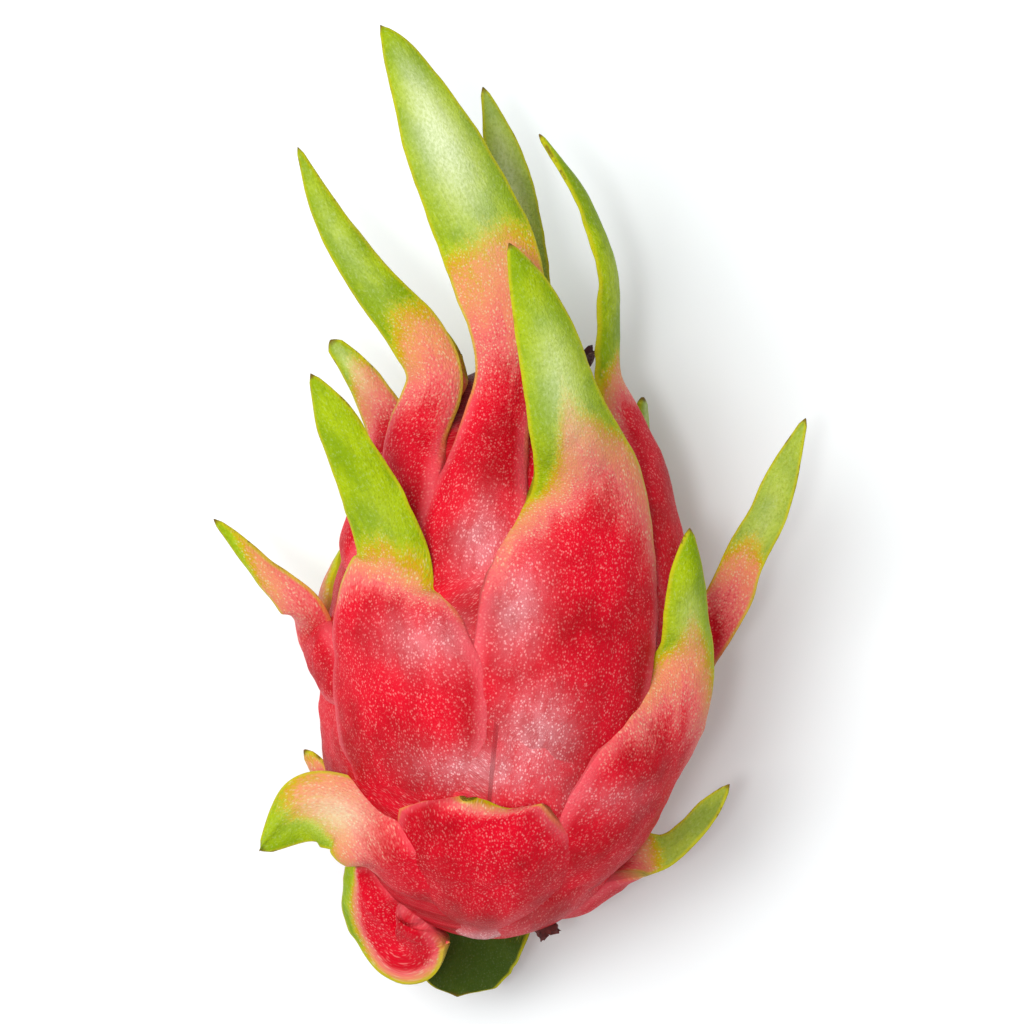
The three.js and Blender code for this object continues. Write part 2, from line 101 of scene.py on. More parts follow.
# foot and brow: station, degrees round from the top towards +X; lift: how far the brow stands
# off the rind; thick: thickness of the leaf at the brow; blade: points of the leaf;
# width: half width at foot, a third, two thirds, brow, then at each blade point;
# face: degrees from +Z towards +X that the leaf looks; turn: where red gives way to green, in
# points from the foot; turn_mm, pink_mm: how gently, on the green and on the red side;
# tongue: how far the red runs on up the middle; lean: how much further it runs on one side;
# pale: where, over what length and how strongly the leaf is paled, its waxen coat together with
# a painted sheen; deep: how dark it is, its own dark tone and, on base_bract_under, painted shade;
# burn: how far its margins and tip are dried brown; nicks: where, on which side, how deep and
# how long the leaf is narrower; keel, keel_at: a ridge along it and where across; tip_up: how
# far the leaf looks along +Y; sunk: how far one margin drops; foot_lip: height of the lip at
# its foot, which also gets a painted highlight; round_mm: over what length the tip is rounded
BRACTS = {
    "crown_bract_front": dict(
        foot=(14, -19), brow=(46, -14), lift=4.5, thick=4.2, face=0,
        blade=[(-6, 67, 75), (-11.5, 84.5, 77), (-22.5, 104, 77), (-33, 122, 73), (-38, 128.5, 71)],
        width=(8, 11.5, 10, 7.2, 8.2, 9.6, 8, 3.8, 0.5),
        turn=4.9, turn_mm=6, pink_mm=18, tongue=1.5, lean=1, pale=(6.1, 0.75, 1.0),
        nicks=((3.55, -1, 0.2, 0.4),)),
    "shoulder_bract_front": dict(
        foot=(-25, 18), brow=(34, 24), lift=4.5, thick=4.2, face=10,
        blade=[(8.5, 51, 84), (3, 65.5, 87), (-2, 76.5, 88), (-7, 85, 88)],
        width=(15, 19.5, 19.5, 13, 8.4, 6.4, 4.2, 0.6),
        turn=3.55, turn_mm=7, pink_mm=14, tongue=11, lean=4, pale=(4.5, 0.8, 0.5)),
    "shoulder_bract_left": dict(
        foot=(-31, -28), brow=(11, -38), lift=3.6, thick=3.6, face=-12,
        blade=[(-25.5, 20, 75), (-30.5, 31, 78), (-36, 40.5, 79), (-40, 47.5, 79), (-45, 55, 78)],
        width=(14, 18.5, 18.5, 11.5, 7.6, 6.4, 5, 3.9, 0.6),
        turn=3.65, turn_mm=7, pink_mm=5, tongue=2, lean=-2, pale=(4.6, 0.5, 0.05)),
    "crown_bract_left": dict(
        foot=(16, -46), brow=(43, -50), lift=4, thick=4, face=-10,
        blade=[(-20.5, 57, 61), (-25.5, 66, 62), (-33, 73.5, 62), (-40.5, 82, 61), (-47, 91, 59),
               (-53.5, 103, 56)],
        width=(6, 9, 9, 6.8, 6.2, 6, 5, 4.1, 2.9, 0.5),
        turn=4.95, turn_mm=7, pink_mm=12, tongue=2, lean=2, pale=(7.2, 1.2, 0.2)),
    "crown_bract_back": dict(
        foot=(38, 180), brow=(55, 170), lift=1.5, thick=3.2, face=195,
        blade=[(-2, 66, 24), (-3, 77, 33), (-6.5, 93, 42), (-11, 107.5, 47), (-16, 120, 50)],
        width=(4, 7, 7, 6, 5.8, 5.6, 5.4, 4, 0.6),
        turn=4.0, turn_mm=6, pink_mm=8, tongue=3, lean=0, pale=(6.4, 1.0, 0.7)),
    "crown_bract_right": dict(
        foot=(12, 74), brow=(48, 66), lift=2, thick=3.8, face=66,
        blade=[(17, 61, 55), (16, 73.5, 57), (13.5, 86, 58), (7.5, 98, 58), (-3, 110.5, 57)],
        width=(8, 12, 11, 7, 5.6, 5, 4.2, 3.2, 0.5),
        turn=4.0, turn_mm=4.5, pink_mm=6, tongue=3, lean=0, pale=(5.5, 1.0, 0.1)),
    "crown_bract_left_low": dict(
        foot=(35, -75), brow=(54, -60), lift=1.5, thick=2.6, face=-20,
        blade=[(-16.5, 58, 46), (-18, 64, 46), (-22, 70.5, 45)],
        width=(4, 6, 5, 4, 3, 2, 0.5),
        turn=5.2, turn_mm=5, pink_mm=6, tongue=2, lean=0, pale=(4, 1, 0)),
    "shoulder_bract_left_low": dict(
        foot=(14, -78), brow=(40, -72), lift=1.8, thick=3.2, face=-10,
        blade=[(-30.5, 48, 44), (-36.5, 56.5, 44), (-43, 63, 44)],
        width=(4, 8, 8, 5.6, 4.8, 3.4, 1.6),
        turn=4.9, turn_mm=4, pink_mm=8, tongue=2, lean=3, pale=(5.2, 0.7, 0.4)),
    "shoulder_bract_right_low": dict(
        foot=(20, 112), brow=(42, 104), lift=1.5, thick=3, face=60,
        blade=[(25.5, 51.5, 30), (25, 58.5, 30)],
        width=(4, 8, 8, 5, 3, 1.6),
        turn=3.4, turn_mm=4, pink_mm=5, tongue=2, lean=0, pale=(4.6, 1, 0.5)),
    "side_bract_right": dict(
        foot=(-28, 104), brow=(2, 100), lift=1.5, thick=3, face=165,
        blade=[(46.5, 16, 38), (49.5, 26.5, 40), (53, 35, 43), (55.5, 45, 46), (58.5, 56.5, 50)],
        width=(4, 10, 10, 6.5, 5.2, 4.6, 4.2, 3.3, 0.6),
        turn=4.9, turn_mm=5, pink_mm=10, tongue=2.5, lean=-1, pale=(6.0, 0.9, 0.15)),
    "side_bract_front_right": dict(
        foot=(-51, 50), brow=(-6, 60), lift=3.6, thick=3.8, face=25,
        blade=[(38, 5, 62), (37, 14, 66), (36, 22.5, 69), (35.5, 31, 71)],
        width=(10, 17, 16.5, 9.5, 6.8, 5.4, 3.8, 0.6),
        turn=3.95, turn_mm=6, pink_mm=14, tongue=6, lean=-1, pale=(4.9, 0.6, 0.25)),
    "base_bract_right": dict(
        foot=(-56, 100), brow=(-40, 92), lift=1, thick=2.6, face=150,
        blade=[(38.5, -38.5, 38), (43, -34, 39), (46.5, -29, 40), (50, -23, 42)],
        width=(3, 8, 8, 5.5, 3.6, 3, 2.6, 0.6),
        turn=3.5, turn_mm=3, pink_mm=4, tongue=0.5, lean=0, pale=(4, 1, 0), deep=0.12),
    "base_bract_left": dict(
        foot=(-53, -33), brow=(-39, -46), lift=2.6, thick=3, face=-10,
        blade=[(-30.5, -35.5, 62), (-39, -36, 60), (-47, -45, 56)],
        width=(6, 10, 10.5, 9, 8.2, 7.4, 1),
        turn=4.5, turn_mm=5, pink_mm=12, tongue=4, lean=7, pale=(4.1, 0.8, 0.6),
        keel=0.9, keel_at=0.3),
    "side_bract_left": dict(
        foot=(-12, -57), brow=(1, -84), lift=2, thick=3, face=-25,
        blade=[(-44.5, 6.5, 52), (-52.5, 13, 53), (-58.5, 18.5, 53), (-64, 23, 52)],
        width=(2, 6, 7, 5.6, 4.6, 3, 1.9, 0.5),
        turn=5.4, turn_mm=5, pink_mm=14, tongue=0, lean=7, pale=(4, 1, 0.05)),
    "base_bract_front": dict(
        foot=(-60.5, 4), brow=(-36, -6), lift=1.2, thick=2.8, face=-5, tip_up=-0.8,
        blade=[(-5, -32.5, 77.6), (-5.3, -29.2, 78.7)],
        width=(11, 21, 21, 17, 14.5, 13),
        turn=5.1, turn_mm=2, pink_mm=2.5, tongue=0, lean=-2.5, pale=(5, 0.4, 0), burn=0,
        sunk=2.0, foot_lip=1.3, round_mm=4.5),
    "base_bract_left_low": dict(
        foot=(-56, -66), brow=(-57, -84), lift=2.5, thick=3, face=-35,
        blade=[(-16.5, -62.5, 37), (-23.5, -57, 40), (-27.2, -46.8, 43)],
        width=(2, 3, 5, 8.5, 10.5, 9, 3.6),
        turn=6.15, turn_mm=5, pink_mm=4, tongue=0, lean=24, pale=(4.8, 0.9, 0), keel=0.8, keel_at=0.1,
        nicks=((3.3, 1, 0.8, 1.2),)),
    # deep 0.9 is painted shade on this leaf under the fruit, over its own dark green
    "base_bract_under": dict(
        foot=(-50, 175), brow=(-56.5, 177), lift=1.5, thick=3, face=180,
        blade=[(-2.5, -66.5, 22), (-3.3, -72.5, 20.5), (-3.3, -76.3, 20)],
        width=(5, 9, 10, 11, 11, 8.2, 1.2),
        turn=2.4, turn_mm=3, pink_mm=3, tongue=0, lean=0, pale=(4, 1, 0), deep=0.9),
    "side_bract_left_low": dict(
        foot=(-48, -106), brow=(-36, -100), lift=1.2, thick=2.8, face=-60,
        blade=[(-37, -30.5, 33.5), (-41, -25.5, 32)],
        width=(3, 6, 6, 4.5, 3.6, 1.2),
        turn=4.6, turn_mm=3, pink_mm=5, tongue=1, lean=0, pale=(4, 1, 0)),
    "side_bract_left_mid": dict(
        foot=(-15, -108), brow=(12, -106), lift=1.5, thick=3, face=-105,
        blade=[(-35.5, 22, 27), (-32.5, 33, 28), (-27.5, 43, 31), (-25.5, 49, 35)],
        width=(4, 9, 10, 7.5, 6, 4.6, 3, 0.6),
        turn=3.4, turn_mm=5, pink_mm=7, tongue=7, lean=0, pale=(5, 0.8, 0.4)),
    "under_bract_right": dict(
        foot=(-45, 128), brow=(-12, 125), lift=1.5, thick=3, face=135,
        blade=[(32.5, 2, 15), (31, 14, 13), (29, 26, 13), (26, 36, 15)],
        width=(4, 10, 11, 8, 6, 5, 3.6, 0.6),
        turn=3.4, turn_mm=5, pink_mm=7, tongue=7, lean=0, pale=(4.8, 0.8, 0.4)),
    "under_bract_left": dict(
        foot=(-40, -128), brow=(-8, -125), lift=1.5, thick=3, face=-135,
        blade=[(-32.5, 6, 15), (-31, 18, 13), (-28, 30, 12.5), (-25, 41, 14)],
        width=(4, 10, 11, 8, 6, 5, 3.6, 0.6),
        turn=3.5, turn_mm=5, pink_mm=7, tongue=7, lean=0, pale=(4.8, 0.8, 0.4)),
    "under_bract_middle": dict(
        foot=(-28, 180), brow=(12, 180), lift=1.2, thick=2.2, face=180,
        blade=[(0.5, 20, 2.0), (1, 28, 3.4), (1.5, 36, 6.5)],
        width=(5, 12, 14, 9, 7, 5, 0.6),
        turn=3.4, turn_mm=5, pink_mm=7, tongue=7, lean=0, pale=(4.6, 0.6, 0.3)),
    "under_bract_crown": dict(
        foot=(26, 178), brow=(46, 176), lift=1.5, thick=3, face=180,
        blade=[(1, 56, 14), (2, 64, 15), (3, 72, 18)],
        width=(4, 8, 8, 6, 5, 4, 0.6),
        turn=3.5, turn_mm=5, pink_mm=7, tongue=7, lean=0, pale=(4.6, 0.7, 0.4)),
    "under_bract_crown_left": dict(
        foot=(5, -140), brow=(33, -135), lift=1.5, thick=3, face=-150,
        blade=[(-22, 44, 17), (-19, 55, 20), (-16, 64, 25)],
        width=(4, 9, 10, 7, 5.4, 4, 0.6),
        turn=3.4, turn_mm=5, pink_mm=7, tongue=7, lean=0, pale=(4.6, 0.7, 0.4)),
    "under_bract_crown_right": dict(
        foot=(5, 142), brow=(32, 140), lift=1.5, thick=3, face=150,
        blade=[(20, 42, 15), (19, 50, 17), (17, 57, 21)],
        width=(4, 9, 10, 7, 5.4, 4, 0.6),
        turn=3.3, turn_mm=5, pink_mm=7, tongue=7, lean=0, pale=(4.6, 0.7, 0.4)),
    "under_bract_base_right": dict(
        foot=(-55, 130), brow=(-36, 135), lift=1.5, thick=3, face=150,
        blade=[(25.5, -26, 9.5), (26, -17, 7), (25, -8, 6)],
        width=(4, 9, 9, 7, 5.4, 4, 0.6),
        turn=3.6, turn_mm=5, pink_mm=7, tongue=7, lean=0, pale=(4.6, 0.7, 0.3)),
    "under_bract_base_left": dict(
        foot=(-55, -135), brow=(-38, -140), lift=1.5, thick=3, face=-150,
        blade=[(-22, -28, 11), (-22, -20, 8.5), (-20, -12, 7.5)],
        width=(4, 9, 9, 7, 5.4, 4, 0.6),
        turn=3.6, turn_mm=5, pink_mm=7, tongue=7, lean=0, pale=(4.6, 0.7, 0.3)),
}


# ---- curves ---------------------------------------------------------------------------
def smooth(low, high, x):
    """Eases from 0 at low to 1 at high."""
    v = np.clip((np.asarray(x, float) - low) / (high - low), 0, 1)
    return v * v * (3 - 2 * v)


def through(xs, ys, x):
    """A smooth curve through (xs, ys)."""
    xs, ys = np.asarray(xs, float), np.asarray(ys, float)
    x = np.clip(np.asarray(x, float), xs[0], xs[-1])
    k = np.clip(np.searchsorted(xs, x, side="right") - 1, 0, len(xs) - 2)
    slope = np.gradient(ys)
    slope[1:-1] = (ys[2:] - ys[:-2]) / (xs[2:] - xs[:-2])
    slope[0] = (ys[1] - ys[0]) / (xs[1] - xs[0])
    slope[-1] = (ys[-1] - ys[-2]) / (xs[-1] - xs[-2])
    h = xs[k + 1] - xs[k]
    t = (x - xs[k]) / h
    return (
        (2 * t**3 - 3 * t**2 + 1) * ys[k] + (t**3 - 2 * t**2 + t) * h * slope[k]
        + (3 * t**2 - 2 * t**3) * ys[k + 1] + (t**3 - t**2) * h * slope[k + 1]
    )


def through_points(points, t):
    """A smooth curve through points in space, at t counted in points."""
    p = np.asarray(points, float)
    p = np.vstack([2 * p[0] - p[1], p, 2 * p[-1] - p[-2]])
    k = np.clip(np.floor(t).astype(int), 0, len(p) - 4)
    f = (t - k)[:, None]
    a, b, c, d = p[k], p[k + 1], p[k + 2], p[k + 3]
    return 0.5 * (2 * b + (c - a) * f + (2 * a - 5 * b + 4 * c - d) * f**2
                  + (3 * b - a - 3 * c + d) * f**3)


def unit(v):
    """Directions, each one long."""
    return v / np.linalg.norm(v, axis=-1, keepdims=True)


def drawn(points, x):
    """Both values of a smooth line through pairs, at x counted in points."""
    count = range(len(points))
    return through(count, [p[0] for p in points], x), through(count, [p[1] for p in points], x)


def rind_radius(y):
    """How thick the fleshy body is here, from its axis to the rind."""
    return through([p[0] for p in RIND], [p[1] for p in RIND], y)


def on_rind(y, degrees):
    """Point and outward direction of the rind."""
    y, a = np.asarray(y, float), np.radians(degrees)
    r = rind_radius(y)
    slope = rind_radius(y + 0.5) - rind_radius(y - 0.5)
    point = np.stack([r * np.sin(a), y, AXIS_HEIGHT + r * np.cos(a)], -1)
    return point, unit(np.stack([np.sin(a), -slope, np.cos(a)], -1))


def lumps(points, size, seed, octaves=3):
    """Soft unevenness in -1..1 of about this size in millimetres, as a natural surface has."""
    rng = np.random.default_rng(seed)
    total = np.zeros(points.shape[:-1])
    reach = 0.0
    for octave in range(octaves):
        for _ in range(5):
            way = unit(rng.normal(size=3)) * (2 * math.pi / size) * rng.uniform(0.7, 1.4) * 2**octave
            total += np.sin(points @ way + rng.uniform(0, 6.28)) * 0.55**octave
        reach += 2.2 * 0.55**octave
    return total / reach


# patches on the top of the fruit where a highlight is painted pale into the red and the coat is made
# glossier:
# x, y, reach in x and y, strength
HIGHLIGHT_PATCHES = [(-1, -22.5, 13, 4.5, 1.0), (1.5, 12, 5, 10, 0.85), (8, -14, 7, 9, 1.0), (-16, 3, 9, 6, 0.65),
         (-7, 24, 5, 8, 0.8), (22, -26, 12, 4, 0.4)]


def painted_highlight(points):
    """How strongly a highlight is painted pale into the skin here, from 0 to 1."""
    x, y, z = points[..., 0], points[..., 1], points[..., 2]
    total = 0 * x
    for at_x, at_y, reach_x, reach_y, strength in HIGHLIGHT_PATCHES:
        near = np.exp(-(((x - at_x) / reach_x) ** 2) - ((y - at_y) / reach_y) ** 2)
        total = np.maximum(total, strength * near)
    return total * smooth(58, 68, z)


# ---- meshes ---------------------------------------------------------------------------
def piece_from_grid(name, grid, facts, across_u, along_v):
    """A closed skin over a grid of rings (stations, ring, xyz in mm), with per-vertex facts."""
    stations, ring = grid.shape[:2]
    points = grid.reshape(-1, 3)
    ends = np.stack([grid[0].mean(0), grid[-1].mean(0)])
    points = np.vstack([points, ends]) * MM
    i, j = np.meshgrid(np.arange(stations - 1), np.arange(ring), indexing="ij")
    i, j = i.ravel(), j.ravel()
    nxt = (j + 1) % ring
    quads = np.stack([i * ring + j, i * ring + nxt, (i + 1) * ring + nxt, (i + 1) * ring + j], 1)
    j = np.arange(ring)
    nxt = (j + 1) % ring
    first, last = stations * ring, stations * ring + 1
    base = (stations - 1) * ring
    caps = np.vstack([
        np.stack([nxt, j, np.full(ring, first)], 1),
        np.stack([base + j, base + nxt, np.full(ring, last)], 1),
    ])
    mesh = bpy.data.meshes.new(name)
    mesh.from_pydata(points.tolist(), [], quads.tolist() + caps.tolist())
    # the map used when colours are baked: round the ring by along the strip
    layer = mesh.uv_layers.new(name="OFBake")
    u = np.append(across_u, 1.0)
    qi, qj = np.meshgrid(np.arange(stations - 1), np.arange(ring), indexing="ij")
    qi, qj = qi.ravel(), qj.ravel()
    quad_uv = np.stack([
        np.stack([u[qj], along_v[qi]], 1), np.stack([u[qj + 1], along_v[qi]], 1),
        np.stack([u[qj + 1], along_v[qi + 1]], 1), np.stack([u[qj], along_v[qi + 1]], 1),
    ], 1)
    mid = (u[:-1] + u[1:]) / 2
    low, high = np.zeros(ring), np.ones(ring)
    cap_uv = np.vstack([
        np.stack([np.stack([u[1:], low + along_v[0]], 1), np.stack([u[:-1], low + along_v[0]], 1),
                  np.stack([mid, low], 1)], 1).reshape(-1, 2),
        np.stack([np.stack([u[:-1], low + along_v[-1]], 1), np.stack([u[1:], low + along_v[-1]], 1),
                  np.stack([mid, high], 1)], 1).reshape(-1, 2),
    ])
    uv = np.vstack([quad_uv.reshape(-1, 2), cap_uv]) * 0.98 + 0.01
    layer.data.foreach_set("uv", uv.astype(np.float32).ravel())
    for fact, values in facts.items():
        wide = values.ndim == 3
        flat = values.reshape(stations * ring, -1)
        first_end, last_end = values[0].reshape(ring, -1).mean(0), values[-1].reshape(ring, -1).mean(0)
        flat = np.vstack([flat, first_end, last_end])
        kind = "FLOAT_VECTOR" if wide else "FLOAT"
        attribute = mesh.attributes.new(fact, kind, "POINT")
        attribute.data.foreach_set("vector" if wide else "value", flat.astype(np.float32).ravel())
    mesh.polygons.foreach_set("use_smooth", np.ones(len(mesh.polygons), bool))
    mesh.update()
    obj = bpy.data.objects.new(name, mesh)
    bpy.context.scene.collection.objects.link(obj)
    return obj


def bract_strip(b, t):
    """Middle line of a bract at t, the way it runs and looks, its side and its half width."""
    (y0, a0), (y1, a1) = b["foot"], b["brow"]
    knots = []
    for share, rise in ((0, -0.6), (1 / 3, 0), (2 / 3, 0.25 * b["lift"] - 0.1), (1, b["lift"])):
        point, out = on_rind(y0 + (y1 - y0) * share, a0 + (a1 - a0) * share)
        knots.append(point + out * rise)
    knots += [np.array(p, float) for p in b["blade"]]
    last = len(knots) - 1
    middle = through_points(knots, t)
    run = unit(through_points(knots, np.minimum(t + 0.05, last))
               - through_points(knots, np.maximum(t - 0.05, 0)))
    share = np.clip(t / 3, 0, 1)
    out = on_rind(y0 + (y1 - y0) * share, a0 + (a1 - a0) * share)[1]
    turn = smooth(2, 3.6, t)[:, None]
    f = math.radians(b["face"])
    look = out * (1 - turn) + np.array([math.sin(f), b.get("tip_up", 0.0), math.cos(f)]) * turn
    look = unit(look - run * (look * run).sum(1, keepdims=True))
    half = np.maximum(0.4, through(np.arange(last + 1), b["width"], t))
    return middle, run, look, np.cross(run, look), half


def bract(name, b, seed, stations=190, outside=61, inside=41):
    """A scale of the rind with its free leaf, as one closed strip."""
    last = 3 + len(b["blade"])
    t = np.linspace(0, last, stations)
    t = np.where(t > last - 0.5, last - 0.5 * ((last - t) / 0.5) ** 1.6, t)
    middle, run, look, side, half = bract_strip(b, t)
    step = np.linalg.norm(np.diff(middle, axis=0), axis=1)
    length = np.concatenate([[0], np.cumsum(step)])

    # where each point of the ring sits across the strip, closer together at the margins
    out_v = np.sin(np.linspace(-math.pi / 2, math.pi / 2, outside))
    in_v = np.sin(np.linspace(math.pi / 2, -math.pi / 2, inside + 2))[1:-1]
    v = np.concatenate([out_v, in_v])[None, :]
    inner = np.concatenate([np.zeros(outside), np.ones(inside)])[None, :]
    tt = t[:, None]

    # half width with a little unevenness of the margin, different on each side
    ragged = lumps(np.stack([middle, middle + 40], 1), 17, seed)
    uneven = 1 + 0.035 * np.where(v < 0, ragged[:, :1], ragged[:, 1:]) * smooth(0.5, 2.5, tt)
    for at, which, deep, long in b.get("nicks", ()):
        uneven = uneven - deep * np.exp(-(((tt - at) / long) ** 2)) * (np.sign(v) == which)
    closing = np.sqrt(np.clip((length[-1] - length)[:, None] / b.get("round_mm", 1.6), 0.03, 1))
    w = half[:, None] * uneven * closing

    # thickness: a raised scale near the foot, a tapering leaf beyond the brow
    share = np.clip((tt - LEAF_FROM) / (last - LEAF_FROM), 0, 1)
    thick = np.maximum(0, b["thick"] + (LEAF_TIP - b["thick"]) * share**0.8 - LEAF_MARGIN) / 2
    edge = np.minimum(LEAF_MARGIN, 0.5 + half[:, None]) / 2
    lip = np.sqrt(np.maximum(0, 1 - np.abs(v) ** 6))
    cup = LEAF_CUP * half[:, None]
    leaf_out = (thick * (1 - v**2) + edge * lip) * closing
    leaf_in = -leaf_out
    leaf = np.where(inner > 0, leaf_in, leaf_out) - cup * v**2

    radius = np.maximum(8, rind_radius(middle[:, 1]))[:, None]
    rise = smooth(0, 1, np.minimum(1, 0.15 + tt / 1.2)) * np.where(tt > 2, 1 - 0.35 * (tt - 2), 1)
    step_up = SCALE_STEP * smooth(1.0, 2.7, tt) * lip
    scale_out = SCALE_BULGE * rise * np.maximum(0, 1 - v**2) ** 0.75 + 0.2 + step_up
    scale = np.where(inner > 0, -SCALE_SEAT, scale_out) - w**2 * v**2 / (2 * radius)
    blend = smooth(2.6, 3.8, tt)
    height = scale * (1 - blend) + leaf * blend

    flat = middle[:, None, :] + side[:, None, :] * (w * v)[..., None]
    soft = lumps(flat, 26, seed + 1) * 0.45 + lumps(flat, 7, seed + 2) * 0.10
    wave = LEAF_WAVE * np.abs(v) ** 4 * smooth(2.6, 3.6, tt)
    wave = wave * lumps(flat, 13, seed + 3, 2) * np.minimum(1, half[:, None] / 4)
    keel = b.get("keel", 0.0) * np.exp(-((v - b.get("keel_at", 0.0)) / 0.22) ** 2) * smooth(2.4, 3.4, tt)
    keel = keel * (1 - 2 * inner)
    sunk = b.get("sunk", 0.0) * np.where(v < 0, np.abs(v) ** 3, 0.15 * v**4)
    foot_lip = b.get("foot_lip", 0.0) * np.exp(-(((tt - 0.2) / 0.25) ** 2)) * (1 - inner) * (1 - v**6)
    height = height + soft * np.minimum(1, half[:, None] / 5) + wave + keel - sunk + foot_lip
    grid = flat + look[:, None, :] * height[..., None]
    grid = settle(name, grid, t, last)
    grid[..., 2] = np.maximum(grid[..., 2], 0.0 if name == "under_bract_middle" else 0.15)

    s = length[:, None]
    turn_s = np.interp(b["turn"], t, length) + 10 * max(0, b["turn"] - last)
    line = turn_s + b["tongue"] * (1 - np.abs(v) ** 1.3 * 2) + b["lean"] * v
    # the pale band along the leaf's middle: its waxen coat with a painted sheen on it
    at, span, strong = b["pale"]
    facts = {
        "skin": np.stack([w * v, s + 0 * v, inner * 40.0 + seed * SKIN_BETWEEN_SEEDS + 0 * s], -1),
        "ripeness": (s - line) / np.where(s > line, b["turn_mm"], b["pink_mm"]),
        "rim": np.minimum((1 - np.abs(v)) * w, length[-1] - s + 0.25),
        "to_tip": length[-1] - s + 0 * v,
        "inner": inner + 0 * s,
        "wax_and_sheen": strong * np.exp(-(((tt - at) / span) ** 2) - (v / 0.55) ** 2),
        "free": smooth(2.2, 3.4, tt) + 0 * v,
        "deep": b.get("deep", 0.0) + 0 * w,
        "burn": b.get("burn", 1.0) + 0 * w,
        # painted highlight mask: the top patches, and a painted pale highlight along the lip at the foot
        "painted_highlight": np.minimum(1, painted_highlight(grid) + 0.7 * foot_lip * smooth(0.02, 0.2, tt)),
    }
    around = np.concatenate([np.linspace(0, 0.52, outside), np.linspace(0.54, 0.99, inside)])
    obj = piece_from_grid(name + "_leaf", grid, facts, around, length / length[-1])
    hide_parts(name, "fruit_body")
    return obj


def settle(name, grid, t, last):
    """Eases a free leaf so that its tip lies where its CAD node's tip does."""
    low, high = box_mm(name)
    free = grid[t > 3.25].reshape(-1, 3)
    mine_low, mine_high = free.min(0), free.max(0)
    tip = grid[-1].mean(0)
    shift = np.where(mine_high - tip < 2.0, high - mine_high, 0)
    shift = np.where(tip - mine_low < 2.0, low - mine_low, shift)
    if np.abs(shift).max() > 3:
        print("far from its CAD node:", name, shift.round(2))
    return grid + np.clip(shift, -1.5, 1.5) * smooth(3.0, last, t)[:, None, None]


def fleshy_core():
    """The body under the scales, with the hollow at the crown."""
    stations, ring = 230, 240
    half_length = RIND[-1][0]
    ys = -half_length * np.cos(np.linspace(0.02, math.pi - 0.02, 200))
    rs = rind_radius(ys)
    hollow = np.array(CROWN_HOLLOW)
    extra = np.linspace(0, 3, stations - 200)
    ys = np.concatenate([ys, np.interp(extra, range(4), hollow[:, 0])])
    rs = np.concatenate([rs, np.interp(extra, range(4), hollow[:, 1])])
    a = np.linspace(0, 2 * math.pi, ring, endpoint=False)
    grid = np.stack([
        rs[:, None] * np.sin(a), ys[:, None] + 0 * a, AXIS_HEIGHT + rs[:, None] * np.cos(a)], -1)
    out = np.stack([np.sin(a) + 0 * ys[:, None], 0 * a + 0 * ys[:, None], np.cos(a) + 0 * ys[:, None]], -1)
    uneven = lumps(grid, 22, SEED) * 0.5 + lumps(grid, 8, SEED + 1) * 0.15
    grid = grid + out * (uneven * np.minimum(1, rs[:, None] / 10))[..., None]
    grid[..., 2] = np.maximum(grid[..., 2], 0.0)
    one = np.ones(grid.shape[:2])
    facts = {
        "skin": np.stack([rs[:, None] * a + 0 * one, ys[:, None] + 0 * one, 3.0 * one], -1),
        "ripeness": -2.0 * one,
        "rim": 50.0 * one,
        "to_tip": 100.0 * one,
        "inner": 0 * one,
        "wax_and_sheen": 0 * one,
        "free": 0 * one,
        # darker towards wine near the crown
        "deep": smooth(44, 50, grid[..., 1]),
        "burn": 0 * one,
        # painted highlight mask: painted pale patches on the top
        "painted_highlight": painted_highlight(grid),
    }
    step = np.linalg.norm(np.diff(np.stack([ys, rs], 1), axis=0), axis=1)
    along = np.concatenate([[0], np.cumsum(step)])
    obj = piece_from_grid("fleshy_core", grid, facts, np.arange(ring) / ring, along / along[-1])
    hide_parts("fruit_body")
    return obj


def tube(path, radius, ring=6):
    """Rings of points round a thin path."""
    run = unit(np.gradient(path, axis=0))
    side = unit(np.cross(run, np.array([0.3, 0.2, 0.93])))
    up = np.cross(run, side)
    a = np.linspace(0, 2 * math.pi, ring, endpoint=False)
    return path[:, None] + radius[:, None, None] * (
        side[:, None] * np.cos(a)[None, :, None] + up[:, None] * np.sin(a)[None, :, None])


def joined(name, parts):
    """Several objects made into one."""
    bpy.ops.object.select_all(action="DESELECT")
    for part in parts:
        part.select_set(True)
    bpy.context.view_layer.objects.active = parts[0]
    bpy.ops.object.join()
    parts[0].name = name
    return parts[0]


